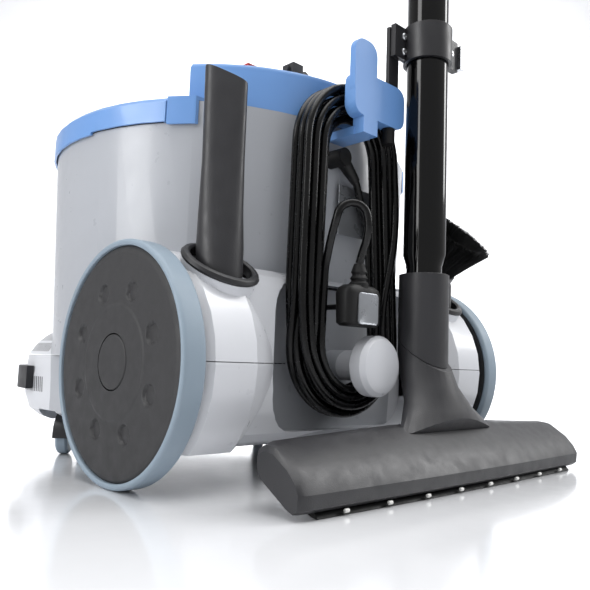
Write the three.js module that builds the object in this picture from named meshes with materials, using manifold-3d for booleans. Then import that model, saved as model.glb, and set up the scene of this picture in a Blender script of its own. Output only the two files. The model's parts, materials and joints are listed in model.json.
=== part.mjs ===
// Canister vacuum cleaner: round dust drum on a wheeled base, parked wand with floor tool,
// two small tools in sockets and a coiled mains cord. Millimetres, +Z up, front towards -Y.
// Everything is laid out from the middle of the rear axle; the last lines move the origin to
// the middle of the footprint.
import * as THREE from 'three';
import { mergeVertices } from 'three/addons/utils/BufferGeometryUtils.js';
import Module from 'manifold-3d';

const wasm = await Module();
wasm.setup();

// ---- driving dimensions -------------------------------------------------------------------
const GAP = 0.3;                 // clearance between pieces that touch
const SKIN = 3;                  // wall of the plastic mouldings

const WHEEL_R = 90;              // rear wheel, over the tyre
const WHEEL_X = 191;             // outer face of a rear wheel
const TYRE_W = 19;
const DISC_R = 85;
const AXLE_Z = WHEEL_R;
const AXLE_R = 6;

const BASE_Z = 29;               // underside of the base
const SEAM_Z = 93;               // joint between lower and upper shell
const BASE_HALF = 162;           // half width of the base
const NOSE_R = 108;              // plan radius of the front corners
const NOSE_Y = -207;             // centre of those corners
const REAR_Y = 62;               // rear wall of the base
const REAR_R = 45;
const SHOULDER_Z = 166;          // top of the rear shoulder
const LOBE_R = 86;               // wheel lobes behind the wheels
const LOBE_IN = 124;
const LOBE_OUT = 168;

const DRUM_Y = -112;             // drum centre and radius at the rim
const DRUM_R = 179.5;
const DRUM_DRAFT = 8.3;          // how much smaller the radius is at the seam
const DRUM_CORNER = 43.6;        // degrees, where the round side meets the flatter rear wall
const REAR_WALL_Y = 52;
const RIM_Z = 283;               // open rim of the drum
const HOOD_Z = 301;              // underside of the raised rear hood
const HOOD_TOP = 340;
const HOOD_FRONT = -11;          // the hood begins here and runs to the rear
const LID_TOP = 304;
const HOOD_Y = -108;             // centre and radius of the hood's rear wall
const HOOD_R = 163;
const MOTOR_Y = -105;             // middle of the motor, the fan and the basket

const NICHE_HALF = 90;           // cord niche in the rear wall
const NICHE_Z0 = 40;
const NICHE_Z1 = 160;
const NICHE_Y = 42;

const SOCKET = { x: 136, y: 49, z: 162, r: 24.3, bore: 19.2, tilt: 33 };
const WAND = { x: -44, y: 102 };
const TUBE_R = 18.2;
const INNER_R = 15.2;
const COLLAR_TOP = 173;          // top of the floor tool's neck
const TUBE_TOP = 610;
const CLAMP_Z = 378;

const CASTOR = { x: 122, y: -184, trail: 15, r: 18.5, w: 11, turn: 38, well: 39, roof: 41 };

const CORD_R = 3.3;
const COIL = {
  y: 57, depth: 22.7,
  outer: { low: [15, 115, 65], top: [20, 272, 58] },    // [x, z, radius] of the two bends
  inner: { low: [14, 112, 35], top: [17.5, 272, 26.5] },
};
const GLAND = { x: 22, y: 61, z: 270, lean: 50 };
const INLET_Z = 222;
const PLUG = { x: 27, y: 89.6, z: 141 };
const SWITCH = { x: 80, y: 12 };
const SEAM = { z: 108, tilt: 34 };  // slanted end of the floor tool's neck, where the tool turns
const HINGE = { y: HOOD_FRONT - 1.5, z: 316 };   // lid hinge pin
const HANDLE = { x: 36, y: 28, z: HOOD_TOP + 6.5 };

const FLOOR_Z = 134;             // underside of the dust chamber's floor
const LID_KNUCKLE = 86;          // how far out the lid's hinge knuckles sit
const PIVOT_R = 5.8;             // castor pivot post
const PIVOT_TOP = 58;
const TOOL_HALF = 191;           // half width of the floor tool
const SIDES = [[1, 'left'], [-1, 'right']];

const ORIGIN = { x: -21.4, y: -82.68 };  // middle of the footprint

// ---- materials ----------------------------------------------------------------------------
const paint = (color, roughness, metalness = 0) =>
  new THREE.MeshStandardMaterial({ color, roughness, metalness });
const SILVER = paint(0xcfd2d6, 0.35);
const BLUE = paint(0x6a95d8, 0.35);
const GREY = paint(0x55565a, 0.55);
const DARK = paint(0x2c2d30, 0.55);
const TYRE = paint(0x8f9aa6, 0.8);
const STEEL = paint(0x26262a, 0.2, 0.9);
const ZINC = paint(0xb9bcc0, 0.35, 0.9);
const RUBBER = paint(0x1b1b1d, 0.8);
const RED = paint(0xc23a3a, 0.4);
const PAPER = paint(0xe6e6e2, 0.9);
const LABEL = paint(0xd8dadd, 0.5);

// ---- tools --------------------------------------------------------------------------------
const deg = THREE.MathUtils.degToRad;
const product = new THREE.Group();

function manifoldOf(geometry) {
  const flat = geometry.index ? geometry.clone() : geometry;
  flat.deleteAttribute('normal');
  flat.deleteAttribute('uv');
  const g = mergeVertices(flat, 1e-4);
  const make = (tri) => new wasm.Manifold(new wasm.Mesh({
    numProp: 3, vertProperties: new Float32Array(g.attributes.position.array), triVerts: tri,
  }));
  const tri = new Uint32Array(g.index.array);
  const solid = make(tri);
  if (solid.volume() > 0) return solid;
  for (let i = 0; i < tri.length; i += 3) [tri[i], tri[i + 1]] = [tri[i + 1], tri[i]];
  return make(tri);
}

function geometryOf(solid) {
  const m = solid.getMesh();
  const g = new THREE.BufferGeometry();
  g.setAttribute('position', new THREE.BufferAttribute(new Float32Array(m.vertProperties), 3));
  g.setIndex(new THREE.BufferAttribute(new Uint32Array(m.triVerts), 1));
  return g;
}

function put(name, solid, material, parent = product) {
  const mesh = new THREE.Mesh(geometryOf(solid), material);
  mesh.name = name;
  parent.add(mesh);
  return mesh;
}

const join = (first, ...rest) => rest.reduce((a, b) => a.add(b), first);
const cut = (first, ...rest) => rest.reduce((a, b) => a.subtract(b), first);

function box(x0, x1, y0, y1, z0, z1) {
  const g = new THREE.BoxGeometry(x1 - x0, y1 - y0, z1 - z0);
  return manifoldOf(g.translate((x0 + x1) / 2, (y0 + y1) / 2, (z0 + z1) / 2));
}

// A turned piece: profile points are [radius, height]; the axis is 'x', 'y' or 'z'.
function turned(profile, axis = 'z', steps = 28) {
  const g = new THREE.LatheGeometry(profile.map(([r, h]) => new THREE.Vector2(r, h)), steps);
  if (axis === 'z') g.rotateX(Math.PI / 2);
  if (axis === 'x') g.rotateZ(-Math.PI / 2);
  return manifoldOf(g);
}

const rod = (r, h0, h1, axis = 'z', steps = 24) =>
  turned([[0, h0], [r, h0], [r, h1], [0, h1]], axis, steps);

const pipe = (r0, r1, h0, h1, axis = 'z', steps = 32) =>
  turned([[r0, h0], [r1, h0], [r1, h1], [r0, h1], [r0, h0]], axis, steps);

// A skin through rings of points that all have the same count, closed at both ends.
function loft(rings) {
  const n = rings[0].length;
  const pos = rings.flat(2);
  const index = [];
  for (let k = 0; k + 1 < rings.length; k++) {
    for (let i = 0; i < n; i++) {
      const [a, b] = [k * n + i, k * n + (i + 1) % n];
      index.push(a, b, b + n, a, b + n, a + n);
    }
  }
  for (const [k, flip] of [[0, true], [rings.length - 1, false]]) {
    const ring = rings[k];
    const centre = pos.length / 3;
    pos.push(...[0, 1, 2].map((c) => ring.reduce((s, p) => s + p[c], 0) / n));
    for (let i = 0; i < n; i++) {
      const [a, b] = [k * n + i, k * n + (i + 1) % n];
      index.push(...(flip ? [b, a, centre] : [a, b, centre]));
    }
  }
  const g = new THREE.BufferGeometry();
  g.setAttribute('position', new THREE.BufferAttribute(new Float32Array(pos), 3));
  g.setIndex(index);
  return manifoldOf(g);
}

// A plate: a plan outline [[x, y], ...] between two heights.
const plate = (outline, z0, z1) => loft([z0, z1].map((z) => outline.map(([x, y]) => [x, y, z])));

// A stack of plan outlines, one for each [height, inset].
const stack = (outline, levels) =>
  loft(levels.map(([z, inset]) => outline(inset).map(([x, y]) => [x, y, z])));

const arc = (cx, cy, r, a0, a1, steps) => Array.from({ length: steps + 1 }, (_, i) => {
  const a = deg(a0 + (a1 - a0) * i / steps);
  return [cx + r * Math.cos(a), cy + r * Math.sin(a)];
});

const mirrored = (half) => [...half, ...half.map(([x, y]) => [-x, y]).reverse()];

function oval(cx, cy, rx, ry, steps = 28, power = 2) {
  return Array.from({ length: steps }, (_, i) => {
    const a = (2 * Math.PI * i) / steps;
    const c = Math.cos(a);
    const s = Math.sin(a);
    return [cx + rx * Math.sign(c) * Math.abs(c) ** (2 / power),
      cy + ry * Math.sign(s) * Math.abs(s) ** (2 / power)];
  });
}

const tilted = (solid, [x, y, z], [rx, ry, rz]) => solid.rotate([rx, ry, rz]).translate([x, y, z]);
const bothSides = (make) => [1, -1].map(make);
const turns = (count, make) => Array.from({ length: count }, (_, i) => make(i));

function tube(points, r, sides = 10, steps = 24) {
  const curve = new THREE.CatmullRomCurve3(points.map((p) => new THREE.Vector3(...p)));
  const section = new THREE.Shape();
  section.absarc(0, 0, r, 0, 2 * Math.PI);
  return manifoldOf(new THREE.ExtrudeGeometry(section, {
    extrudePath: curve, steps, curveSegments: sides / 2, bevelEnabled: false,
  }));
}

// ---- plan outlines ------------------------------------------------------------------------
function baseOutline(inset) {
  const rear = Math.max(REAR_R - inset, 4);
  const half = BASE_HALF - inset;
  return mirrored([
    ...arc(BASE_HALF - NOSE_R, NOSE_Y, NOSE_R - inset, -90, 0, 9),
    ...arc(half - rear, REAR_Y - inset - rear, rear, 0, 90, 5),
  ]);
}

// Round front and sides, a softened corner, then a much flatter rear wall.
function drumOutline(inset) {
  const a = deg(DRUM_CORNER);
  const cornerX = DRUM_R * Math.cos(a);
  const sag = REAR_WALL_Y - (DRUM_Y + DRUM_R * Math.sin(a));
  const wallR = (cornerX ** 2 + sag ** 2) / (2 * sag);
  const open = Math.asin(cornerX / wallR) * 180 / Math.PI;
  const rear = arc(0, REAR_WALL_Y - wallR, wallR - inset, 90 - open + 2.5, 90, 5);
  return mirrored([...arc(0, DRUM_Y, DRUM_R - inset, -90, DRUM_CORNER - 3, 18), ...rear.slice(0, -1)]);
}

// ---- base and drum ------------------------------------------------------------------------
const LOWER_LEVELS = [[BASE_Z, 26], [33, 15], [40, 6], [54, 1], [72, 0], [SEAM_Z - GAP, 2]];
const UPPER_LEVELS = [[SEAM_Z + GAP, 2], [104, 9], [112, 17], [119, 27], [124, 38], [126, 52]];
const SHOULDER_LEVELS = [[SEAM_Z + GAP, 1], [140, 1], [152, 3], [160, 8], [SHOULDER_Z, 18], [SHOULDER_Z + 2, 30]];

// Round about the wheel axle: a lobe behind the wheel that narrows towards the niche.
function lobe(side, r, x0, x1) {
  const edge = 5;
  const profile = [[0, x0 - 36], [r - 26, x0 - 36], [r - 16, x0 - 20], [r - 4, x0 - 3], [r, x0 + 3],
    [r, x1 - edge], [r - edge, x1], [0, x1]];
  return turned(profile.map(([h, x]) => [h, side * x]), 'x', 28).translate([0, 0, AXLE_Z]);
}

// A plate standing across Y: an [x, z] outline between two Y values.
const plateXZ = (outline, y0, y1) => loft([y0, y1].map((y) => outline.map(([x, z]) => [x, y, z])));

// A rectangle with round corners: middle, half sizes and corner radius.
function ovalBox(cx, cy, rx, ry, r) {
  return [[1, 1, 0], [-1, 1, 90], [-1, -1, 180], [1, -1, 270]].flatMap(([sx, sy, a]) =>
    arc(cx + sx * (rx - r), cy + sy * (ry - r), r, a, a + 90, 5));
}

const nicheCut = () => plateXZ(
  ovalBox(0, (NICHE_Z0 + NICHE_Z1) / 2, NICHE_HALF, (NICHE_Z1 - NICHE_Z0) / 2, 26), NICHE_Y, 120);

// What stays solid between the niche and the room inside the shells.
const wallBehindNiche = () => box(-NICHE_HALF - SKIN, NICHE_HALF + SKIN, NICHE_Y - SKIN, REAR_Y + 5,
  NICHE_Z0 - SKIN, NICHE_Z1 + SKIN);

const rearOnly = (solid, fromY) => solid.intersect(box(-300, 300, fromY, 200, 0, 400));

// The same levels one wall further in, with the ends moved by first and last.
function inside(levels, by, first, last) {
  const out = levels.map(([z, inset]) => [z, inset + by]);
  out[0][0] += first;
  out[out.length - 1][0] += last;
  return out;
}

// Space round the axle between the two lobes and the wheels.
const hubRoom = (z0, z1) => bothSides((s) => box(Math.min(s * LOBE_IN, s * WHEEL_X),
  Math.max(s * LOBE_IN, s * WHEEL_X), -AXLE_R - 1, AXLE_R + 1, z0, z1));

function lowerShell() {
  const outer = join(stack(baseOutline, LOWER_LEVELS), ...bothSides((s) => lobe(s, LOBE_R, LOBE_IN, LOBE_OUT)))
    .intersect(box(-300, 300, -400, 200, BASE_Z, SEAM_Z - GAP));
  const room = cut(stack(baseOutline, inside(LOWER_LEVELS, SKIN, SKIN, 5)), wallBehindNiche());
  const lobeRoom = bothSides((s) => lobe(s, LOBE_R - SKIN, LOBE_IN + 2, LOBE_OUT - SKIN)
    .intersect(box(-300, 300, -60, 200, BASE_Z + SKIN, 200)));
  const { well, roof } = CASTOR;
  const atCastors = (solid) => bothSides((s) => solid.translate([s * CASTOR.x, CASTOR.y, 0]));
  const wells = atCastors(rod(well, BASE_Z - 5, roof, 'z', 32));
  const wellWalls = atCastors(join(
    pipe(well - 1, well + SKIN, BASE_Z, roof + SKIN),
    pipe(PIVOT_R + 0.5, well + 1, roof, roof + SKIN),
    pipe(PIVOT_R + 0.5, 10, roof, PIVOT_TOP + 2),
  ));
  const shell = cut(outer, room, ...lobeRoom, ...hubRoom(AXLE_Z - AXLE_R - 1, 120), nicheCut(), ...wells);
  return join(shell, cut(join(...wellWalls).intersect(outer), ...wells));
}

const drumSkirt = () => join(
  stack(baseOutline, UPPER_LEVELS),
  rearOnly(stack(baseOutline, SHOULDER_LEVELS), -70),
  ...bothSides((s) => lobe(s, LOBE_R, LOBE_IN, LOBE_OUT)),
);

// A short round boss whose slanted top carries the socket ring.
const socketBoss = (side, r, z0, top) => tilted(rod(r, z0, top, 'z', 36),
  [side * SOCKET.x, SOCKET.y, SOCKET.z], [-SOCKET.tilt, 0, 0]);

const socketBore = (side, r, z0, z1) => rod(r, z0, z1, 'z', 28).translate([side * SOCKET.x, SOCKET.y, 0]);

// The room under the skirt, open to the drum and closed round the niche and the sockets.
function skirtRoom() {
  const room = join(
    stack(baseOutline, inside(UPPER_LEVELS.slice(0, -1), SKIN, -2.3, -3)),
    rearOnly(stack(baseOutline, inside(SHOULDER_LEVELS.slice(0, 4), SKIN + 3, -2.3, 0)), -67),
    ...bothSides((s) => lobe(s, LOBE_R - SKIN, LOBE_IN + 2, LOBE_OUT - SKIN)),
  );
  return cut(room, wallBehindNiche(), ...bothSides((s) => socketBore(s, SOCKET.bore + SKIN, 116, 200)));
}

function upperShell() {
  const above = box(-300, 300, -400, 200, SEAM_Z + GAP, 400);
  const drum = stack(drumOutline, [[SEAM_Z + GAP, DRUM_DRAFT], [HOOD_Z - GAP, 0]]);
  const room = stack(drumOutline, [[SEAM_Z - 5, DRUM_DRAFT + SKIN], [HOOD_Z + 5, SKIN]]);
  const bosses = bothSides((s) => socketBoss(s, SOCKET.r + 5.5, -60, 0));
  const outer = join(drumSkirt(), drum, ...bosses).intersect(above);
  const rimCut = box(-300, 300, -400, HOOD_FRONT - GAP, RIM_Z, 400);
  const mouths = bothSides((s) => join(
    socketBoss(s, SOCKET.r + 2, -4, 40), socketBoss(s, SOCKET.r + 7, 0, 40), socketBore(s, SOCKET.bore, 120, 220)));
  const gland = rod(8, REAR_WALL_Y - 20, REAR_WALL_Y + 20, 'y', 24).translate([GLAND.x, 0, GLAND.z]);
  const inlet = rod(27, -30, 30, 'y', 28).translate([0, DRUM_Y - DRUM_R, INLET_Z]);
  return cut(outer, room, skirtRoom(), rimCut, nicheCut(), ...mouths, gland, inlet,
    ...hubRoom(60, AXLE_Z + AXLE_R + 1));
}

// ---- inside the drum ------------------------------------------------------------------------
const atMotor = (solid) => solid.translate([0, MOTOR_Y, 0]);

function motorAndFan() {
  const grille = turns(5, (i) => box(-34, 34, -30 + i * 14, -22 + i * 14, FLOOR_Z - 5, FLOOR_Z + 9));
  const floor = stack(drumOutline, [[FLOOR_Z, SKIN + DRUM_DRAFT + GAP], [FLOOR_Z + SKIN, SKIN + DRUM_DRAFT + GAP]]);
  put('chamber_floor', cut(floor, ...grille.map(atMotor)), GREY);

  const can = cut(rod(74, 50, FLOOR_Z - 4, 'z', 40), rod(71, 53, FLOOR_Z, 'z', 40), rod(26, 40, 60));
  put('motor_housing', atMotor(can), GREY);
  put('motor_gasket', atMotor(pipe(62, 73, FLOOR_Z - 4 + GAP, FLOOR_Z - GAP)), RUBBER);
  const motor = cut(join(rod(44, 56, 96), rod(60, 94, 100)), rod(5, 40, 110, 'z', 16));
  put('motor_body', atMotor(motor), ZINC);
  const hub = join(rod(4.4, 54, 121, 'z', 16), rod(56, 104, 108), rod(14, 104, 121));
  const blades = turns(8, (i) => box(12, 52, -1, 1, 107, 119).rotate([0, 0, i * 45]));
  put('fan_rotor', atMotor(join(hub, ...blades)), ZINC);
  put('motor_filter', atMotor(rod(52, FLOOR_Z + SKIN + GAP, FLOOR_Z + 11)), PAPER);
  put('exhaust_filter', box(-60, 60, -302, -288, 52, 84), PAPER);
}

function basketAndBag() {
  const bars = turns(3, (i) => box(-142, 142, -5, 5, 152, 155).rotate([0, 0, i * 60]));
  const slots = turns(4, (i) => box(120, 160, -60, 60, 170, 245).rotate([0, 0, i * 90 + 45]));
  const basket = join(pipe(141, 143, 152, 262, 'z', 26), pipe(141, 145.5, 261, 265, 'z', 26), ...bars);
  put('filter_basket', atMotor(cut(basket, ...slots)), GREY);
  const bag = [[0, 158], [90, 160], [126, 178], [130, 215], [118, 246], [80, 258], [0, 260]];
  put('dust_bag', atMotor(turned(bag)), PAPER);
}

// ---- trim on the base -----------------------------------------------------------------------
function baseTrim() {
  const bumper = (inset) => mirrored(arc(BASE_HALF - NOSE_R, NOSE_Y, NOSE_R - inset, -90, 8, 12));
  const strip = cut(plate(bumper(-7), 60, 82), plate(bumper(-GAP), 50, 92));
  put('bumper_strip', strip.intersect(box(-300, 300, -400, NOSE_Y, 0, 200)), DARK);

  const { r } = SOCKET;
  const lip = [[r, -3.5], [r + 1.7, -3.5], [r + 1.7, GAP], [r + 6, GAP], [r + 6.6, 2], [r + 5, 4.5],
    [r + 2, 5.3], [r, 4], [r, -3.5]];
  for (const [side, name] of SIDES) {
    const ring = tilted(turned(lip), [side * SOCKET.x, SOCKET.y, SOCKET.z], [-SOCKET.tilt, 0, 0]);
    put(`socket_ring_${name}`, ring, DARK);
  }
  put('rear_axle', rod(AXLE_R, -(WHEEL_X - 8), WHEEL_X - 8, 'x').translate([0, 0, AXLE_Z]), ZINC);
  put('label_plate', box(-30, 14, REAR_WALL_Y + GAP, REAR_WALL_Y + 1.3, 206, 250), LABEL);
  const inlet = [[19, -14], [19, 20], [31, 20], [33, 16], [33, 4], [26.5, 3], [26.5, -14], [19, -14]];
  put('hose_inlet', turned(inlet, 'y', 32).rotate([0, 0, 180])
    .translate([0, DRUM_Y - DRUM_R - 1, INLET_Z]), GREY);
}

function cordHooks() {
  const [cx, cz] = [3.5, 93.5];
  const rim = [[80.6, 3], [82.5, 0], [93, 0], [97, 3], [98.5, 9]];
  const cap = loft(rim.map(([y, r]) => oval(cx, cz, 24.5 - r, 25 - r).map(([x, z]) => [x, y, z])));
  const neck = plateXZ(oval(5, cz, 14, 12.8, 24), NICHE_Y + GAP, 82);
  put('cord_hook_lower', join(neck, cap), SILVER);

  const front = [COIL.y + COIL.depth + 0.6, 92];
  const arm = box(10, 30, REAR_WALL_Y + 0.5, front[0] + 2, 284, 291);
  const panel = plateXZ(ovalBox(7.5, 316.5, 32.5, 18.5, 10), ...front).add(box(11, 29, ...front, 284, 320));
  const fin = plateXZ(ovalBox(27, 337, 14, 26, 11), front[1] - 6, front[1]);
  const slot = box(-22, -6.5, 83.4, 88.8, 318, 350);
  put('cord_hook_upper', cut(join(arm, panel, fin), slot), BLUE);
  put('park_buffer', rod(5.8, 284, 298 - GAP, 'z', 20).translate([-10, 86.3, 0]), RUBBER);
}

// ---- hood and lid -------------------------------------------------------------------------
function hoodOutline(inset) {
  const low = Math.asin((HOOD_FRONT - HOOD_Y) / HOOD_R) * 180 / Math.PI;
  return mirrored(arc(0, HOOD_Y, HOOD_R - inset, low - 6, 89, 14));
}

// Part of the rim skirt that reaches down over the top of the drum wall.
const rimSkirt = (z1) => cut(
  stack(drumOutline, [[RIM_Z - 2, -2.4], [z1 + 1, -2.4]]), stack(drumOutline, [[RIM_Z - 9, -0.6], [z1, -0.6]]));

// Hinge knuckles on both sides at x, from the pin to y1 and between two heights.
const knuckles = (x, y1, z0, z1) => bothSides((s) => join(
  rod(4.5, s * x - 5, s * x + 5, 'x', 16).translate([0, HINGE.y, HINGE.z]),
  box(s * x - 5, s * x + 5, HINGE.y - 4, y1, z0, z1),
));

const PIN_R = 2.5;
const pin = (r, half) => rod(r, -half, half, 'x', 16).translate([0, HINGE.y, HINGE.z]);

function rearHood() {
  const behind = (y0, y1) => box(-300, 300, y0, y1, 0, 500);
  const dome = stack(hoodOutline, [[HOOD_Z, 0], [HOOD_TOP - 5, 0], [HOOD_TOP - 1.2, 1.5], [HOOD_TOP, 5]]);
  const deck = stack(drumOutline, [[HOOD_Z, -2.4], [LID_TOP, -2.4]]);
  const step = join(deck, rimSkirt(HOOD_Z)).intersect(behind(HOOD_FRONT, 8));
  const room = stack(hoodOutline, [[HOOD_Z - 1, SKIN], [HOOD_TOP - SKIN, SKIN]])
    .intersect(behind(HOOD_FRONT + SKIN, 200));
  const { x, y } = SWITCH;
  const switchHole = box(x - 15, x + 15, y - 10, y + 10, HOOD_TOP - 10, HOOD_TOP + 5);
  const notches = bothSides((s) => box(s * LID_KNUCKLE - 5.6, s * LID_KNUCKLE + 5.6, HOOD_FRONT - 5,
    HOOD_FRONT + SKIN + 2, LID_TOP + GAP, HINGE.z + 7));
  const shell = cut(join(dome.intersect(behind(HOOD_FRONT, 200)), step), room, switchHole);
  const ears = knuckles(LID_KNUCKLE + 14, HOOD_FRONT + 1, HINGE.z, HINGE.z + 4);
  put('rear_hood', cut(join(shell, ...ears), pin(PIN_R + GAP, 120), ...notches), BLUE);
  put('lid_hinge_pin', pin(PIN_R, 108), ZINC);

  const rocker = join(box(x - 14, x + 14, y - 7, y + 7, HOOD_TOP - 8, HOOD_TOP + 3),
    rod(3, x - 14.5, x + 14.5, 'x', 16).translate([0, y, HOOD_TOP - 4]));
  put('switch_rocker', rocker, RED);
  put('switch_body', box(x - 14, x + 14, y - 9, y + 8, 314, HOOD_TOP - 9), DARK);
}

function frontLid() {
  const before = (y1) => box(-300, 300, -400, y1, 0, 500);
  const cover = stack(drumOutline, [[RIM_Z - 2, -2.4], [LID_TOP - 4, -2.4], [LID_TOP, 1.5],
    [LID_TOP + 5, 30], [LID_TOP + 7, 70]]).intersect(before(HOOD_FRONT - 1));
  const under = stack(drumOutline, [[RIM_Z - 5, -0.6], [LID_TOP - 4, -0.6], [LID_TOP + 1, 30],
    [LID_TOP + 3, 70]]).intersect(before(HOOD_FRONT - 4));
  const rearEdge = box(-300, 300, -84, HOOD_FRONT + 10, 0, RIM_Z + GAP);
  const lid = join(cut(cover, under, rearEdge), ...knuckles(LID_KNUCKLE, HINGE.y + 1, LID_TOP + 1, HINGE.z));
  put('front_lid', cut(lid, pin(PIN_R + GAP, 120)), BLUE);
  const seal = cut(stack(drumOutline, [[RIM_Z + GAP, 0.4], [RIM_Z + 5, 0.4]]),
    stack(drumOutline, [[RIM_Z - 1, 6], [RIM_Z + 9, 6]]));
  put('lid_seal', seal.intersect(before(HOOD_FRONT - 6)), RUBBER);

  const latchY = DRUM_Y - DRUM_R - 2.4;
  const latch = plateXZ(ovalBox(0, 285, 22, 22, 7), latchY - 7, latchY - 1);
  put('lid_latch', latch.add(box(-18, 18, latchY - 3, latchY - 1, 266, 300)), GREY);
}

function carryHandle() {
  const { x, y, z } = HANDLE;
  const bolts = bothSides((s) =>
    rod(3, Math.min(s * x, s * 60), Math.max(s * x, s * 60), 'x', 16).translate([0, y, z]));
  const half = [[x, y, z], [x, y - 16, z + 0.6], [x - 7, y - 27, z + 1]];
  const bail = [...half.map(([a, b, c]) => [-a, b, c]), [0, y - 29, z + 1.2], ...half.reverse()];
  put('carry_handle', join(tube(bail, 5.6, 8, 18), ...bolts), GREY);
  for (const [side, name] of SIDES) {
    const ear = box(side * 51 - 6, side * 51 + 6, y - 7, y + 7, HOOD_TOP + GAP, z + 5.5);
    put(`handle_ear_${name}`, cut(ear, rod(3.4, -80, 80, 'x', 16).translate([0, y, z])), GREY);
  }
}

// ---- running gear -------------------------------------------------------------------------
function rearWheel(side, name) {
  const out = WHEEL_X;
  const inn = WHEEL_X - TYRE_W;
  const ring = [[DISC_R + GAP, inn + 1], [WHEEL_R - 3, inn], [WHEEL_R, inn + 3], [WHEEL_R, out - 3],
    [WHEEL_R - 2.5, out], [DISC_R + GAP, out - 0.5], [DISC_R + GAP, inn + 1]];
  const disc = [[AXLE_R + GAP, out - 8], [20.5, out - 8], [20.5, out + 0.6], [40, out + 0.6], [42, out - 0.6],
    [DISC_R, out - 2], [DISC_R, inn + 1], [30, inn + 5], [20, inn - 1], [AXLE_R + GAP, inn - 1],
    [AXLE_R + GAP, out - 8]];
  const cap = [[0, out - 7.4], [19.5, out - 7.4], [20.2, out - 0.4], [18, out + 1], [0, out + 1.2]];
  const atAxle = (solid) => solid.translate([0, 0, AXLE_Z]);
  const turn = (profile) => atAxle(turned(profile.map(([r, x]) => [r, side * x]), 'x', 40));
  const dimples = turns(8, (i) => atAxle(rod(6.5, side * (out - 3.2), side * (out + 5), 'x', 8)
    .translate([0, 54, 0]).rotate([22.5 + 45 * i, 0, 0])));
  put(`wheel_${name}_tyre`, turn(ring), TYRE);
  put(`wheel_${name}_disc`, cut(turn(disc), ...dimples), GREY);
  put(`wheel_${name}_cap`, turn(cap), GREY);
}

function castor(side, name) {
  const group = new THREE.Group();
  group.position.set(side * CASTOR.x, CASTOR.y, 0);
  group.rotation.z = deg(-CASTOR.turn);
  product.add(group);
  const { trail, r, w, roof } = CASTOR;
  const hoodR = r + 2.2;
  const spare = (x0, x1) => rod(hoodR - 1.8, x0, x1, 'x', 22);
  const hood = cut(rod(hoodR, -6 - w, 6 + w, 'x', 22), spare(3.2, 40), spare(-40, -3.2),
    box(-40, 40, -60, 60, -60, -2)).translate([0, trail, r]);
  const shoulder = r * 2 + 0.6;
  const post = join(rod(PIVOT_R, shoulder, PIVOT_TOP, 'z', 20), rod(12, shoulder, roof - 0.4, 'z', 20));
  const web = box(-3, 3, -4, trail, r - 2, roof - 2);
  const axle = rod(2.6, -14, 14, 'x', 16).translate([0, trail, r]);
  put(`castor_${name}_fork`, join(hood, post, web, axle), DARK, group);
  for (const [s, end] of [[1, 'outer'], [-1, 'inner']]) {
    const [a, b] = [s * 4.4, s * (4.4 + w)];
    const roller = turned([[3.1, a], [r - 2, a], [r, a + s * 2], [r, b - s * 2], [r - 2, b], [3.1, b], [3.1, a]],
      'x', 20);
    put(`castor_${name}_wheel_${end}`, roller.translate([0, trail, r]), TYRE, group);
  }
}

// ---- small tools in the sockets -------------------------------------------------------------
// Each ring: height, middle, half width and depth, squareness, and how much the edge slants.
function crevice() {
  const ring = (z, cx, cy, rx, ry, power, slope) =>
    oval(cx, cy, rx, ry, 24, power).map(([x, y]) => [x, y, z + slope * x]);
  const rings = [[-38, 0, 0, 16.8, 16.8, 2, 0], [-4, 0, 0, 17.2, 17.2, 2, 0], [14, 0.5, 0.5, 17.6, 17, 2.1, 0],
    [40, 1, 1.5, 16.6, 13, 2.4, 0], [80, 1, 2.5, 15.8, 10, 2.8, 0], [144, 1.5, 3, 16.2, 9.5, 3.2, 0.36]];
  const ends = [-2, 0, 0, 0, 0, 3];
  const bore = rings.map(([z, cx, cy, rx, ry, p, slope], i) => ring(z + ends[i], cx, cy, rx - 2, ry - 2, p, slope));
  const tool = cut(loft(rings.map((v) => ring(...v))), loft(bore));
  put('crevice_tool', tilted(tool, [SOCKET.x, SOCKET.y, SOCKET.z], [0, 0, -36]), GREY);
}

function dustingBrush() {
  const atSocket = (solid) => solid.translate([-SOCKET.x, SOCKET.y, SOCKET.z]);
  const head = (solid) => tilted(solid, [0, -6, 34], [-42, 0, 0]);
  const neck = cut(rod(17.4, -36, 30), head(box(-60, 60, -60, 60, 0, 60)));
  const outer = join(neck, head(rod(21, -12, 1)), head(rod(27, -2, 6)));
  put('brush_neck', atSocket(cut(outer, rod(15, -40, 8))), GREY);
  const crown = [[17, 6 + GAP], [26, 6 + GAP], [42.5, 45], [32, 46], [17, 9], [17, 6 + GAP]];
  put('brush_bristles', atSocket(head(turned(crown))), RUBBER);
}

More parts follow.
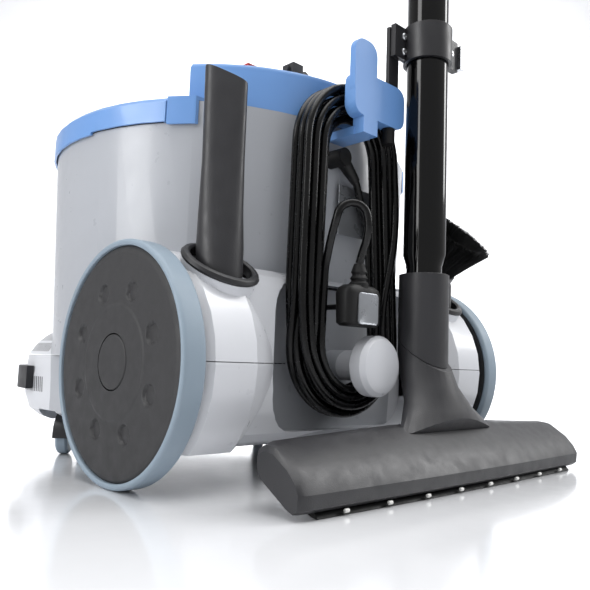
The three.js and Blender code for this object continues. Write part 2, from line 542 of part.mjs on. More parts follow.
// ---- wand and floor tool --------------------------------------------------------------------
function wand() {
  const group = new THREE.Group();
  group.position.set(WAND.x, WAND.y, 0);
  product.add(group);
  const top = TUBE_TOP;
  const bore = INNER_R + GAP;
  put('wand_tube', turned([[13.2, 138], [15.2, 138], [15.2, 180], [TUBE_R, 190], [TUBE_R, top], [bore, top],
    [bore, 200], [13.2, 190], [13.2, 138]]), STEEL, group);
  put('wand_inner_tube', pipe(INNER_R - 1.4, INNER_R, 230, top + 58, 'z', 16), STEEL, group);
  const fit = TUBE_R + GAP;
  const collar = turned([[fit, top - 50], [TUBE_R + 5, top - 50], [TUBE_R + 6.5, top - 12], [TUBE_R + 4, top + 10],
    [INNER_R + 1, top + 10], [INNER_R + 1, top + GAP], [fit, top + GAP], [fit, top - 50]]);
  put('wand_collar', cut(collar, box(-9.4, 9.4, TUBE_R + 2, 40, top - 38, top - 12)), DARK, group);
  put('wand_button', box(-8.8, 8.8, TUBE_R + 4.6, TUBE_R + 9, top - 37, top - 13), GREY, group);

  const block = (x0, x1, y0, y1, z0, z1) => box(x0, x1, y0, y1, CLAMP_Z + z0, CLAMP_Z + z1);
  const ears = [block(8, 35, -14, -9, -15, 14), block(-33, -8, 4, 10, -14, 14)];
  const band = join(rod(TUBE_R + 3.4, CLAMP_Z - 16, CLAMP_Z + 16, 'z', 40), ...ears);
  put('clamp_band', cut(band, rod(fit, CLAMP_Z - 20, CLAMP_Z + 20, 'z', 40)), DARK, group);
  put('clamp_hook', block(23, 36.5, -17.6, -14.3, -54, 12), DARK, group);
  const pull = rod(4, -44, -33.3, 'x', 16).translate([0, 7, CLAMP_Z]);
  put('clamp_clip', join(block(-39, -33.3, 1, 13, -11, 11), pull), ZINC, group);
}

// One cross-section of the floor tool: k spreads the [y, z] outline about its middle, lifts its crown.
const station = (outline, x, k) => outline.map(([y, z]) =>
  [x, 30 + (y - 30) * k, z > 22 ? 22 + (z - 22) * (0.1 + 0.9 * k ** 2) : z]);

function floorTool() {
  const group = new THREE.Group();
  group.position.set(WAND.x, WAND.y, 0);
  product.add(group);
  const slanted = (z0, z1) => tilted(box(-60, 60, -60, 60, z0, z1), [0, 0, SEAM.z], [-SEAM.tilt, 0, 0]);
  const sleeve = cut(rod(21.5, 60, COLLAR_TOP), rod(15.5, 137, 200), rod(13, 40, 140));
  put('tool_neck', sleeve.intersect(slanted(0, 200)), GREY, group);

  const elbow = loft([
    [140, 0, 0, 21.3, 21.3, 0], [98, 0, 1, 21.6, 22, 0], [80, -1, 7, 27, 22, -2], [64, -3, 15, 40, 20, -4],
    [46, -4, 24, 62, 15, -6],
  ].map(([z, cx, cy, rx, ry, drop]) => oval(cx, cy, rx, ry).map(([x, y]) => [x, y, z + drop * (y - cy) / ry])));
  const sole = [[7, 40], [14, 44], [24, 43], [40, 32], [48, 23], [52, 16], [51, 7], [47, 4.2], [40, 6.6],
    [24, 14.5], [11, 21], [7, 28]];
  const strip = [[46.3, 3.7], [40, 5.9], [26, 12.9], [25, 9.6], [39, 2.4], [45, 0.2], [49, 0.2]];
  const along = [[60, 1.12], [181, 1], [188, 0.95], [TOOL_HALF, 0.84]];
  const stations = [...along.map(([x, k]) => [-x, k]).reverse(), ...along];
  const bar = loft(stations.map(([x, k]) => station(sole, x, k)));
  put('tool_body', join(bar, elbow.intersect(slanted(-200, -GAP))), GREY, group);
  const lip = [[-174, 1], [-60, 1.12], [60, 1.12], [174, 1]];
  put('tool_lip', loft(lip.map(([x, k]) => station(strip, x, k))), RUBBER, group);
}

// ---- mains cord -----------------------------------------------------------------------------
// A tall loop: the outline round two circles [x, z, radius] and the tangents between them.
function loopOutline({ low, top }) {
  const [dx, dz] = [top[0] - low[0], top[1] - low[1]];
  const lean = Math.atan2(dz, dx) * 180 / Math.PI;
  const open = Math.acos((low[2] - top[2]) / Math.hypot(dx, dz)) * 180 / Math.PI;
  return [...arc(...top, lean - open, lean + open, 12), ...arc(...low, lean + open, lean + 360 - open, 14)];
}

function cord() {
  const { y, depth } = COIL;
  const stub = rod(7.6, REAR_WALL_Y - 4, GLAND.y + 6, 'y', 20).translate([GLAND.x, 0, GLAND.z]);
  const relief = turned([[0, 0], [6.6, 0], [6, -8], [4.2, -26], [0, -26]], 'z', 20);
  put('cable_gland', join(stub, tilted(relief, [GLAND.x, GLAND.y, GLAND.z], [0, GLAND.lean, 0])), RUBBER);
  const lead = [[1.7, GLAND.y, 252.9], [0.1, GLAND.y, 251.2], [-1.2, GLAND.y, 248.9], [-1.9, GLAND.y, 246]];
  put('cord_lead', tube(lead, CORD_R, 10, 4), RUBBER);
  const ring = cut(plateXZ(loopOutline(COIL.outer), y, y + depth),
    plateXZ(loopOutline(COIL.inner), y - 5, y + depth + 5));
  put('cord_coil', ring, RUBBER);
  const front = y + depth + CORD_R + 0.8;
  const tail = [[50, front, 196], [56, front + 1, 212], [57, front + 7, 222], [50, front + 15, 221],
    [40, front + 16.5, 210], [32, front + 13, 196], [PLUG.x + 0.6, PLUG.y + 1.6, 184],
    [PLUG.x, PLUG.y, PLUG.z + 34.6]];
  put('cord_tail', tube(tail, CORD_R, 8, 22), RUBBER);
}

function mainsPlug() {
  const section = (z, r) => oval(0, 0, 21.5 - r, 9 - r / 2, 24, 4).map(([x, y]) => [x, y, z]);
  const body = loft([[-16.5, 4], [-14.5, 1], [9, 0], [13.5, 2], [16, 6]].map((v) => section(...v)));
  const ribs = turned([[0, 13], [8, 13], [8, 18], [6, 20], [7.4, 22], [5.4, 25], [6.6, 27], [4.2, 34], [0, 34]],
    'z', 16);
  const pins = bothSides((s) => rod(2.2, -27, -5, 'y', 12).translate([s * 9.5, 0, -1]));
  put('mains_plug', join(body, ribs, ...pins).translate([PLUG.x, PLUG.y, PLUG.z]), RUBBER);
}

// ---- assembly -------------------------------------------------------------------------------
put('lower_shell', lowerShell(), SILVER);
put('upper_shell', upperShell(), SILVER);
motorAndFan();
basketAndBag();
baseTrim();
cordHooks();
rearHood();
frontLid();
carryHandle();
for (const [side, name] of SIDES) {
  rearWheel(side, name);
  castor(side, name);
}
crevice();
dustingBrush();
wand();
floorTool();
cord();
mainsPlug();

product.position.set(-ORIGIN.x, -ORIGIN.y, 0);

export default product;
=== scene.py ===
import json
import math
import random
import bpy
from mathutils import Matrix, Vector


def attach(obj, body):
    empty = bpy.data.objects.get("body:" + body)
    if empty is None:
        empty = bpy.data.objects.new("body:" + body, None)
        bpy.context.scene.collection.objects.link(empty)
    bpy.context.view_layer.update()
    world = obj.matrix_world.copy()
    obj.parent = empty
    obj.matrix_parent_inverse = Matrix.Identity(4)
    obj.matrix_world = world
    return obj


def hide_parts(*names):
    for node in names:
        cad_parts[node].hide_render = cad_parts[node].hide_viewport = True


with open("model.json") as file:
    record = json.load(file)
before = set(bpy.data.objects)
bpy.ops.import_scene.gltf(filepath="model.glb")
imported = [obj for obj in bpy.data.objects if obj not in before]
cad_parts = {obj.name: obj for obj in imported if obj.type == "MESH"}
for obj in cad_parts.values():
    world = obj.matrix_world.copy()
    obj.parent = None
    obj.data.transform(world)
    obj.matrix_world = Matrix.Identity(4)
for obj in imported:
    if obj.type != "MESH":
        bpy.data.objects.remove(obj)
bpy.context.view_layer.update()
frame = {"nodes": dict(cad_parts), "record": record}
random.seed(7)
scene = bpy.context.scene

# The machine is laid out in millimetres from the middle of its rear axle, over the floor.
AXLE = Vector((0.0214, 0.08268, 0.0))
MM = 0.001


def at(x, y, z):
    """A point given in millimetres from the axle, as a point of the frame in metres."""
    return AXLE + Vector((x, y, z)) * MM


# ---- camera -------------------------------------------------------------------------------
CAMERA_PLACE = (426.5, 435.6, 94.8)
CAMERA_RIGHT = (-0.72142, 0.69157, 0.03594)
CAMERA_UP = (0.09555, 0.04800, 0.99427)
LENS_MM = 40.27
SENSOR_MM = 36


def make_camera():
    data = bpy.data.cameras.new("camera")
    data.lens = LENS_MM
    data.sensor_width = SENSOR_MM
    data.clip_start = 0.01
    data.clip_end = 30
    camera = bpy.data.objects.new("camera", data)
    scene.collection.objects.link(camera)
    right, up = Vector(CAMERA_RIGHT), Vector(CAMERA_UP)
    back = right.cross(up)
    turn = Matrix((right, up, back)).transposed().to_4x4()
    camera.matrix_world = Matrix.Translation(at(*CAMERA_PLACE)) @ turn
    scene.camera = camera


# ---- materials ------------------------------------------------------------------------------
def srgb(r, g, b):
    def linear(c):
        c /= 255
        return c / 12.92 if c <= 0.04045 else ((c + 0.055) / 1.055) ** 2.4
    return (linear(r), linear(g), linear(b), 1)


def material(name, colour, rough, metal=0.0, grain=0.0, grain_size=0.0006, mottle=0.08, coat=0.0,
             sheen=0.0, waviness=0.0, scratch=0.0, shine=0.5):
    """A moulded or coated surface: mottled colour, uneven roughness, fine grain and slow waviness."""
    m = bpy.data.materials.new(name)
    m.use_nodes = True
    nodes, links = m.node_tree.nodes, m.node_tree.links
    bsdf = nodes["Principled BSDF"]
    where = nodes.new("ShaderNodeTexCoord").outputs["Object"]

    def noise(size, detail=4.0):
        n = nodes.new("ShaderNodeTexNoise")
        n.inputs["Scale"].default_value = 1 / size
        n.inputs["Detail"].default_value = detail
        links.new(where, n.inputs["Vector"])
        return n.outputs["Fac"]

    def spread(value, low, high):
        n = nodes.new("ShaderNodeMapRange")
        n.inputs["From Min"].default_value = 0.3
        n.inputs["From Max"].default_value = 0.7
        n.inputs["To Min"].default_value = low
        n.inputs["To Max"].default_value = high
        links.new(value, n.inputs["Value"])
        return n.outputs["Result"]

    mix = nodes.new("ShaderNodeMix")
    mix.data_type = "RGBA"
    mix.inputs["A"].default_value = tuple(c * (1 - mottle) for c in colour[:3]) + (1,)
    mix.inputs["B"].default_value = tuple(min(1, c * (1 + mottle)) for c in colour[:3]) + (1,)
    links.new(noise(0.03), mix.inputs["Factor"])
    links.new(mix.outputs["Result"], bsdf.inputs["Base Color"])
    links.new(spread(noise(0.011), rough * 0.85, min(1, rough * 1.2)), bsdf.inputs["Roughness"])
    bsdf.inputs["Metallic"].default_value = metal
    bsdf.inputs["Specular IOR Level"].default_value = shine
    bsdf.inputs["Coat Weight"].default_value = coat
    bsdf.inputs["Coat Roughness"].default_value = 0.12
    bsdf.inputs["Sheen Weight"].default_value = sheen
    normal = None
    layers = [(waviness, 0.05, 1.0), (grain, grain_size, 3.0), (scratch, 0.004, 8.0)]
    for strength, size, detail in layers:
        if not strength:
            continue
        bump = nodes.new("ShaderNodeBump")
        bump.inputs["Strength"].default_value = strength
        bump.inputs["Distance"].default_value = size * 0.3
        links.new(noise(size, detail), bump.inputs["Height"])
        if normal:
            links.new(normal, bump.inputs["Normal"])
        normal = bump.outputs["Normal"]
    if normal:
        links.new(normal, bsdf.inputs["Normal"])
    return m


SHELL = material("shell_plastic", srgb(166, 169, 175), 0.32, coat=0.25, grain=0.08,
                 waviness=0.02, mottle=0.02)
BLUE = material("blue_plastic", srgb(102, 146, 204), 0.34, coat=0.3, grain=0.06,
                waviness=0.02, mottle=0.03)
GREY = material("grey_plastic", srgb(40, 40, 43), 0.42, grain=0.4, grain_size=0.0009, mottle=0.06)
DISC = material("wheel_plastic", srgb(42, 42, 44), 0.55, grain=0.25, grain_size=0.0008, mottle=0.05)
DARK = material("dark_plastic", srgb(30, 30, 33), 0.4, grain=0.2, grain_size=0.0008)
TYRE = material("tyre_rubber", srgb(132, 147, 160), 0.5, grain=0.25, grain_size=0.001, mottle=0.05)
WAND = material("coated_steel", srgb(3, 3, 4), 0.1, mottle=0.2, waviness=0.01, shine=0.35)
ZINC = material("zinc_steel", srgb(190, 192, 195), 0.28, metal=1.0, grain=0.1, scratch=0.1)
CORD = material("cord_pvc", srgb(4, 4, 5), 0.26, grain=0.12, grain_size=0.0005, shine=0.3)
RUBBER = material("black_rubber", srgb(12, 12, 13), 0.5, grain=0.3, grain_size=0.0008, shine=0.3)
RED = material("red_plastic", srgb(176, 34, 30), 0.3, coat=0.3, grain=0.05)
PAPER = material("filter_paper", srgb(226, 224, 216), 0.9, grain=0.6, grain_size=0.0012,
                 mottle=0.06, sheen=0.2)
PLATE = material("label_plate", srgb(150, 153, 158), 0.3, metal=0.7, grain=0.15, scratch=0.1)
HAIR = material("bristle_hair", srgb(8, 8, 9), 0.45, mottle=0.3, shine=0.3)
WHITE = material("white_nylon", srgb(225, 225, 222), 0.5, grain=0.2)


# Painted light: the base is tinted lighter than the shell to lift the shade in its recess behind the cord.
BASE_PAINTED_LIGHT = srgb(208, 210, 215)
# Painted shade: near-black tint for the vent openings, standing in for the shade inside them.
SLOT_PAINTED_SHADE = (0.012, 0.012, 0.014, 1)
SLOTS_PER_RADIAN = 26.0
SLOT_SHARE = 0.46


def paint_base_light_and_vent_shade(m):
    """Paints the base lighter, as painted light lifting the shade in its recess behind the cord, and paints
    rows of dark slots round its front corners, as painted shade in the vent openings.
    """
    nodes, links = m.node_tree.nodes, m.node_tree.links

    def calc(kind, *values):
        n = nodes.new("ShaderNodeMath")
        n.operation = kind
        for socket, value in zip(n.inputs, values):
            if isinstance(value, (int, float)):
                socket.default_value = value
            else:
                links.new(value, socket)
        return n.outputs["Value"]

    split = nodes.new("ShaderNodeSeparateXYZ")
    links.new(nodes.new("ShaderNodeTexCoord").outputs["Object"], split.inputs["Vector"])
    corner = at(54, -207, 0)
    off_middle = calc("ABSOLUTE", calc("SUBTRACT", split.outputs["X"], AXLE.x))
    across = calc("SUBTRACT", off_middle, corner.x - AXLE.x)
    along = calc("SUBTRACT", corner.y, split.outputs["Y"])
    angle = calc("ARCTAN2", along, across)
    slot = calc("LESS_THAN", calc("FRACT", calc("MULTIPLY", angle, SLOTS_PER_RADIAN)), SLOT_SHARE)
    rows = calc("COMPARE", split.outputs["Z"], 0.065, 0.0072)
    for middle, half in ((0.1005, 0.0042), (0.1105, 0.0036), (0.1175, 0.0024), (0.1225, 0.0016)):
        rows = calc("ADD", rows, calc("COMPARE", split.outputs["Z"], middle, half))
    ahead = calc("COMPARE", angle, 0.62, 0.82)
    mask = calc("MULTIPLY", calc("MULTIPLY", slot, rows), ahead)
    east = calc("SUBTRACT", split.outputs["X"], AXLE.x)
    north = calc("SUBTRACT", split.outputs["Y"], at(0, -112, 0).y)
    radius = calc("SQRT", calc("ADD", calc("MULTIPLY", east, east), calc("MULTIPLY", north, north)))
    drum_radius = calc("ADD", calc("MULTIPLY", split.outputs["Z"], 0.04), 0.1685)
    # The base outside the drum, which takes the painted light.
    base = calc("GREATER_THAN", radius, drum_radius)
    bsdf = nodes["Principled BSDF"]
    colour = bsdf.inputs["Base Color"].links[0].from_socket
    # Painted shade: the vent slots, kept to the base.
    slots = calc("MULTIPLY", mask, base)
    for factor, tint in ((base, BASE_PAINTED_LIGHT), (slots, SLOT_PAINTED_SHADE)):
        mix = nodes.new("ShaderNodeMix")
        mix.data_type = "RGBA"
        mix.inputs["B"].default_value = tint
        links.new(factor, mix.inputs["Factor"])
        links.new(colour, mix.inputs["A"])
        colour = mix.outputs["Result"]
    links.new(colour, bsdf.inputs["Base Color"])


paint_base_light_and_vent_shade(SHELL)

LOOKS = {
    "silver_plastic": SHELL, "blue_plastic": BLUE, "grey_plastic": GREY, "dark_plastic": DARK,
    "tyre_grey": TYRE, "black_steel": WAND, "zinc": ZINC, "black_rubber": RUBBER,
    "red_plastic": RED, "paper": PAPER, "label": PLATE,
}
SLOT = {part["node"]: part["material_slot"] for part in frame["record"]["subparts"]}
BODY = {node: name for name, nodes in frame["record"]["behaviour"]["bodies"].items() for node in nodes}


# ---- making pieces --------------------------------------------------------------------------
def piece(name, verts, faces, look, body, nodes=(), slot=None, sharp=35):
    mesh = bpy.data.meshes.new(name)
    mesh.from_pydata([tuple(v) for v in verts], [], faces)
    mesh.validate()
    mesh.update()
    obj = bpy.data.objects.new(name, mesh)
    scene.collection.objects.link(obj)
    mesh.materials.append(look)
    mesh.shade_smooth()
    mesh.set_sharp_from_angle(angle=math.radians(sharp))
    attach(obj, body)
    if nodes:
        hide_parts(*nodes)
        slot = slot or SLOT[nodes[0]]


def rings(sections, loop=False):
    """Vertices and faces through rings of points with the same count, capped unless they loop."""
    n = len(sections[0])
    verts = [p for ring in sections for p in ring]
    faces = []
    spans = len(sections) if loop else len(sections) - 1
    for k in range(spans):
        a, b = k * n, (k + 1) % len(sections) * n
        faces += [(a + i, a + (i + 1) % n, b + (i + 1) % n, b + i) for i in range(n)]
    if not loop:
        faces.append(tuple(range(n))[::-1])
        faces.append(tuple(range(len(verts) - n, len(verts))))
    return verts, faces


AXES = {"x": (Vector((0, 1, 0)), Vector((0, 0, 1)), Vector((1, 0, 0))),
        "y": (Vector((0, 0, 1)), Vector((1, 0, 0)), Vector((0, 1, 0)))}


def turned(profile, axis, origin, steps):
    """A ring profile of (radius, height) pairs in millimetres, turned round an axis."""
    u, v, w = AXES[axis]
    sections = []
    for r, h in profile:
        sections.append([origin + (u * math.cos(a) + v * math.sin(a)) * r * MM + w * h * MM
                         for a in (2 * math.pi * i / steps for i in range(steps))])
    return rings(sections, loop=True)


def merged(*parts):
    verts, faces = [], []
    for v, f in parts:
        base = len(verts)
        verts += v
        faces += [tuple(base + i for i in face) for face in f]
    return verts, faces


CORNER_STEPS = 3


def rounded(profile, radius):
    """The closed profile with each corner cut back and rounded."""
    out = []
    n = len(profile)
    for i in range(n):
        before, here, after = (Vector(profile[(i + k) % n]) for k in (-1, 0, 1))
        a, b = before - here, after - here
        r = min(radius, a.length * 0.45, b.length * 0.45)
        if a.length < 1e-6 or b.length < 1e-6:
            continue
        p, q = here + a.normalized() * r, here + b.normalized() * r
        for k in range(CORNER_STEPS + 1):
            t = k / CORNER_STEPS
            out.append(tuple(p * (1 - t) ** 2 + here * 2 * t * (1 - t) + q * t * t))
    return out


EASED_EDGE = 0.35 * MM
SHARP_ANGLE = math.radians(32)
WELD_DISTANCE = 0.00002


def copy_of(node):
    """The CAD solid again with eased edges, smooth shading and a proper surface."""
    source = frame["nodes"][node]
    mesh = source.data.copy()
    mesh.name = node + "_look"
    obj = bpy.data.objects.new(node + "_look", mesh)
    scene.collection.objects.link(obj)
    obj.matrix_world = source.matrix_world.copy()
    mesh.materials.clear()
    mesh.materials.append(LOOKS[SLOT[node]])
    weld = obj.modifiers.new("weld", "WELD")
    weld.merge_threshold = WELD_DISTANCE
    bevel = obj.modifiers.new("ease", "BEVEL")
    bevel.width = EASED_EDGE
    bevel.segments = 2
    bevel.limit_method = "ANGLE"
    bevel.angle_limit = SHARP_ANGLE
    bevel.use_clamp_overlap = True
    bevel.harden_normals = True
    mesh.shade_smooth()
    mesh.set_sharp_from_angle(angle=SHARP_ANGLE)
    even = obj.modifiers.new("even", "WEIGHTED_NORMAL")
    even.keep_sharp = True
    even.weight = 80
    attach(obj, BODY[node])
    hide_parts(node)


# ---- mains cord -------------------------------------------------------------------------------
CORD_D = 6.6                        # diameter
LAYER_Y = [60.5, 67.4, 74.3]        # the layers of turns, from the wall outwards
LANES = 4                           # turns side by side in a full layer
TURN_STEPS = 72
# Centre x, z and radius of the bundle's two round ends, outside and inside.
OUTER = {"low": (15, 115, 65), "top": (20, 272, 58)}
INNER = {"low": (14, 112, 35), "top": (17.5, 272, 26.5)}


def lane(t, share):
    """A point [x, z] of the loop at turn fraction t, share 0 on the inner lane and 1 on the outer.
    t runs down the right side from the top, round the lower hook and up the left side."""
    def circle(end):
        (ix, iz, ir), (ox, oz, outer) = INNER[end], OUTER[end]
        near, far = ir + CORD_D * 0.55, outer - CORD_D * 0.55
        return (ix + (ox - ix) * share, iz + (oz - iz) * share, near + (far - near) * share)
    (lx, lz, lr), (tx, tz, tr) = circle("low"), circle("top")
    parts = [("top", math.pi / 2, math.pi), ("side", 0, 0), ("low", math.pi, 2 * math.pi),
             ("side", 1, 0), ("top", 0, math.pi / 2)]
    drop = tz - lz
    sizes = [tr * math.pi / 2, drop, lr * math.pi, drop, tr * math.pi / 2]
    s = (t % 1.0) * sum(sizes)
    for (kind, a, b), size in zip(parts, sizes):
        if s <= size:
            f = s / size
            if kind == "top":
                angle = a + (b - a) * f
                return tx + tr * math.cos(angle), tz + tr * math.sin(angle)
            if kind == "low":
                angle = a + (b - a) * f
                return lx + lr * math.cos(angle), lz + lr * math.sin(angle)
            if a == 0:
                return (tx - tr) + ((lx - lr) - (tx - tr)) * f, tz + (lz - tz) * f
            return (lx + lr) + ((tx + tr) - (lx + lr)) * f, lz + (tz - lz) * f
        s -= size
    return tx, tz + tr


def ease(f):
    f = max(0.0, min(1.0, f))
    return f * f * (3 - 2 * f)


def cord_route():
    """The lead from the gland and the turns as (lane, layer), out to the start of the tail."""
    points = [(3.0, 61, 254.2), (0.2, 61, 250.4), (-3.0, 60.9, 243), (-6.5, 60.7, 232)]
    order = [(a, 0) for a in range(LANES)]
    order += [(a, 1) for a in reversed(range(LANES))]
    order += [(1, 2), (2, 2), (3, 2)]
    first, end = 14, 53
    for k, (a, b) in enumerate(order):
        final = k + 1 == len(order)
        after = (0, 2) if final else order[k + 1]
        start, stop = (0.08, 0.36) if final else (0.56, 0.72)
        for i in range(first if k == 0 else 0, end if final else TURN_STEPS):
            t = i / TURN_STEPS
            f = ease((t - start) / (stop - start))
            lane_now = a + (after[0] - a) * f
            y = LAYER_Y[b] + (LAYER_Y[after[1]] - LAYER_Y[b]) * f
            if final:
                y += CORD_D * math.sin(math.pi * f)
            x, z = lane(t, lane_now / (LANES - 1))
            points.append((x, y, z))
    return points


TAIL = [
    (50.6, 76.4, 180), (51.7, 79.8, 190), (52.8, 84, 200), (53.5, 88, 209), (52, 88.9, 215.6),
    (47.9, 91.4, 220.4), (42.2, 94.8, 222.1), (36.6, 98.1, 220.4), (32.5, 100.6, 215.6),
    (31, 101.3, 208), (30, 100.4, 200), (28.6, 97.4, 192), (27.4, 93, 184.5), (27, 89.6, 175.5),
]


def make_cord():
    route = cord_route() + TAIL
    curve = bpy.data.curves.new("cord", "CURVE")
    curve.dimensions = "3D"
    curve.bevel_depth = CORD_D / 2 * MM
    curve.bevel_resolution = 5
    curve.use_fill_caps = True
    spline = curve.splines.new("POLY")
    fine = smooth_route([at(*p) for p in route])
    spline.points.add(len(fine) - 1)
    for point, p in zip(spline.points, fine):
        point.co = (*p, 1)
    spline.use_smooth = True
    obj = bpy.data.objects.new("mains_cord", curve)
    scene.collection.objects.link(obj)
    curve.materials.append(CORD)
    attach(obj, "machine")
    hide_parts("cord_coil", "cord_lead", "cord_tail")


def smooth_route(points):
    """Cuts the corners of a route twice, keeping both ends."""
    for _ in range(2):
        out = [points[0]]
        for a, b in zip(points, points[1:]):
            out += [a * 0.75 + b * 0.25, a * 0.25 + b * 0.75]
        points = out + [points[-1]]
    return points


# ---- wheels -----------------------------------------------------------------------------------
def rear_wheel(side, name):
    body = "wheel_" + name
    centre = at(0, 0, 90)
    tyre = [(85.3, 173), (87, 172), (89, 173.2), (90, 175), (90, 188), (89.4, 190), (88, 191),
            (86.4, 190.8), (85.3, 190)]
    v, f = turned([(r, side * h) for r, h in rounded(tyre, 0.8)], "x", centre, 160)
    piece("tyre_" + name, v, f, TYRE, body, [f"wheel_{name}_tyre"])

    def face_height(r):
        table = [(0, 1.2), (20.4, 1.2), (22, 1.0), (36, 1.0), (41, 0.9), (43, 0.2), (60, -0.1),
                 (80, -0.5), (83, -1.2), (85, -2.6)]
        for (r0, h0), (r1, h1) in zip(table, table[1:]):
            if r <= r1:
                return h0 + (h1 - h0) * (r - r0) / (r1 - r0)
        return table[-1][1]

    dimples = [(54 * math.cos(a), 54 * math.sin(a))
               for a in (math.radians(22.5 + 45 * i) for i in range(8))]

    def height(r, a):
        h = 191 + face_height(r) - 0.6
        y, z = r * math.cos(a), r * math.sin(a)
        near = min(math.hypot(y - p, z - q) for p, q in dimples)
        if near < 7.8:
            h -= 2.4 * (1 - ease((near - 6.2) / 1.6)) - 0.8 * (1 - (near / 7.8) ** 2)
        return h

    radii = [20.9 + (85 - 20.9) * i / 90 for i in range(91)]
    steps = 288
    grid = []
    for r in radii:
        grid.append([centre + Vector((side * height(r, a) * MM, r * math.cos(a) * MM, r * math.sin(a) * MM))
                     for a in (2 * math.pi * i / steps for i in range(steps))])
    back = [(85, 173), (30, 177), (20, 171), (6.3, 171), (6.3, 183), (20.9, 183)]
    for r, h in back:
        grid.append([centre + Vector((side * h * MM, r * math.cos(a) * MM, r * math.sin(a) * MM))
                     for a in (2 * math.pi * i / steps for i in range(steps))])
    v, f = rings(grid, loop=True)
    piece("disc_" + name, v, f, DISC, body, [f"wheel_{name}_disc"], sharp=40)
    cap = [(0.01, 184), (19.6, 184), (20.1, 191.2), (19.2, 192), (14, 192.1), (0.01, 192.2)]
    v, f = turned([(r, side * h) for r, h in rounded(cap, 0.5)], "x", centre, 96)
    piece("cap_" + name, v, f, DISC, body, [f"wheel_{name}_cap"])


# ---- small detail -----------------------------------------------------------------------------
BRISTLES = 2600


def bristles():
    """The brush's crown of hair: thin strips that fan out from the face of the neck."""
    foot, tilt = at(-136, 43, 196), Matrix.Rotation(math.radians(-42), 3, "X")
    parts = []
    for _ in range(BRISTLES):
        a = 2 * math.pi * random.random()
        f = random.random()
        low, high = 17.6 + 7.6 * f, 31.5 + 9.8 * f
        lean = a + random.uniform(-0.05, 0.05)
        top = random.uniform(42.6, 45.6)
        thick = random.uniform(0.32, 0.5)
        base = Vector((low * math.cos(a), low * math.sin(a), 6.6))
        middle = Vector(((low + high) * 0.49 * math.cos(a), (low + high) * 0.49 * math.sin(a), 25))
        tip = Vector((high * math.cos(lean), high * math.sin(lean), top))
        side = Vector((-math.sin(a), math.cos(a), 0))
        out = Vector((math.cos(a), math.sin(a), 0))
        sections = [[foot + tilt @ (p + side * u * k * thick + out * w * k * thick) * MM
                     for u, w in ((1, 0), (0, 1), (-1, 0), (0, -1))]
                    for p, k in ((base, 1.3), (middle, 1.0), (tip, 0.5))]
        parts.append(rings(sections))
    v, f = merged(*parts)
    piece("bristle_crown", v, f, HAIR, "dusting_brush", ["brush_bristles"], sharp=60)


def pads():
    """White rollers let into the front edge of the floor tool."""
    for i in range(8):
        x = -44 - 150 + 300 * i / 7
        bump = 1.12 if abs(x + 44) < 60 else 1.12 - 0.12 * (abs(x + 44) - 60) / 121
        centre = at(x, 102 + 30 + 20.4 * bump, 3.2)
        profile = [(0.01, -2), (1.3, -2), (1.3, 2), (0.01, 2)]
        v, f = turned(rounded(profile, 0.5), "x", centre, 20)
        piece(f"tool_roller_{i + 1}", v, f, WHITE, "floor_tool", slot="black_rubber")


def screws():
    """Cross-head screws in the ears of the wand clamp."""
    for i, (x, y, z) in enumerate([(22, -8.9, 6), (22, -8.9, -8), (-22, 10.1, 0)]):
        centre = at(-44 + x, 102 + y, 378 + z)
        profile = [(0.01, -0.8), (3.4, -0.8), (3.4, 0.6), (2.6, 1.4), (0.9, 1.6), (0.01, 0.9)]
        v, f = turned(rounded(profile, 0.3), "y", centre, 32)
        piece(f"clamp_screw_{i + 1}", v, f, ZINC, "wand", slot="zinc")


def plug_painted_highlight():
    """A pale plate on the back of the mains plug: a painted highlight where its face catches the light."""
    half_w, half_h, corner = 12, 12.5, 3
    outline = []
    for sx, sz, start in ((1, 1, 0), (-1, 1, 90), (-1, -1, 180), (1, -1, 270)):
        for k in range(7):
            a = math.radians(start + 15 * k)
            outline.append((sx * (half_w - corner) + corner * math.cos(a),
                            sz * (half_h - corner) + corner * math.sin(a)))
    sections = [[at(25 + x * k, y, 138.5 + z * k) for x, z in outline]
                for y, k in ((97.6, 1), (98.9, 1), (99.1, 0.96), (98.8, 0.9))]
    v, f = rings(sections)
    # Painted highlight: the pale plate stands in for light on the plug's face.
    piece("plug_highlight_plate", v, f, PLATE, "machine", slot="label")


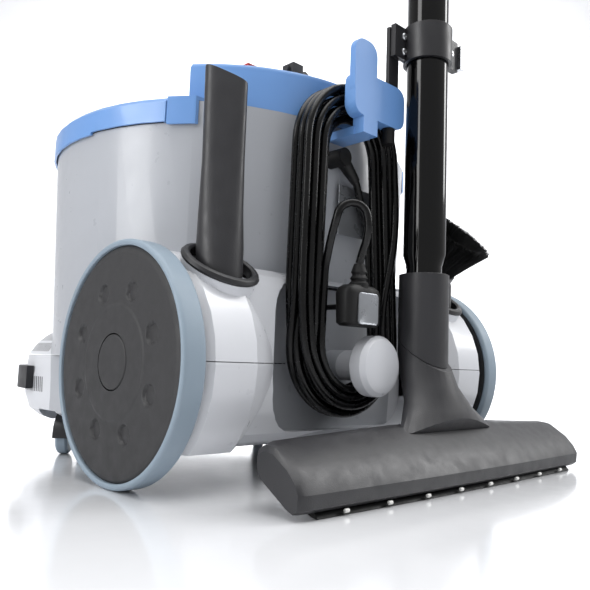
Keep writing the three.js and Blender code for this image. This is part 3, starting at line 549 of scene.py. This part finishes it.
# ---- floor and light --------------------------------------------------------------------------
def make_floor():
    """A pale sheet that runs back flat behind the machine and curves up far away."""
    look = material("floor", srgb(232, 233, 236), 0.16, mottle=0.01, waviness=0.003, coat=0.8)
    away, side = Vector((-0.69, -0.72, 0)), Vector((0.72, -0.69, 0))
    flat, bend = 3.2, 2.2
    profile = [(-6, 0), (-2, 0), (0, 0), (flat, 0)]
    for i in range(1, 25):
        a = math.radians(90 * i / 24)
        profile.append((flat + bend * math.sin(a), bend * (1 - math.cos(a))))
    profile.append((flat + bend, 7))
    across = [-9, -4, -1, 1, 4, 9]
    verts = [away * d + side * w + Vector((0, 0, h)) for d, h in profile for w in across]
    n = len(across)
    faces = [(k * n + i, k * n + i + 1, (k + 1) * n + i + 1, (k + 1) * n + i)
             for k in range(len(profile) - 1) for i in range(n - 1)]
    mesh = bpy.data.meshes.new("floor")
    mesh.from_pydata([tuple(v) for v in verts], [], faces)
    mesh.shade_smooth()
    mesh.materials.append(look)
    floor = bpy.data.objects.new("floor", mesh)
    scene.collection.objects.link(floor)


def area_light(name, place, target, size, power):
    data = bpy.data.lights.new(name, "AREA")
    data.shape = "RECTANGLE"
    data.size, data.size_y = size
    data.energy = power
    obj = bpy.data.objects.new(name, data)
    scene.collection.objects.link(obj)
    obj.location = place
    obj.rotation_mode = "QUATERNION"
    obj.rotation_quaternion = (Vector(target) - Vector(place)).to_track_quat("-Z", "Y")


def make_lights():
    world = bpy.data.worlds.new("studio")
    world.use_nodes = True
    background = world.node_tree.nodes["Background"]
    background.inputs["Color"].default_value = (1, 1, 1, 1)
    background.inputs["Strength"].default_value = 0.5
    scene.world = world
    area_light("top", (0.2, 0.3, 2.6), (0, 0, 0.1), (2.6, 2.6), 66)
    area_light("left", (2.2, -0.3, 1.0), (0, 0, 0.25), (0.8, 1.8), 30)
    area_light("right", (-1.5, 0.9, 1.5), (0, 0.1, 0.2), (0.5, 1.8), 26)
    area_light("back", (-1.5, -1.5, 2.4), (-2.8, -2.9, 1.0), (2.5, 1.5), 300)
    scene.view_settings.view_transform = "Standard"


# ---- the scene --------------------------------------------------------------------------------
make_camera()
OWN = {
    "cord_coil", "cord_lead", "cord_tail",
    "wheel_left_tyre", "wheel_left_disc", "wheel_left_cap",
    "wheel_right_tyre", "wheel_right_disc", "wheel_right_cap", "brush_bristles",
}
for node in frame["nodes"]:
    if node not in OWN:
        copy_of(node)
make_cord()
rear_wheel(1, "left")
rear_wheel(-1, "right")
bristles()
pads()
screws()
plug_painted_highlight()
make_floor()
make_lights()
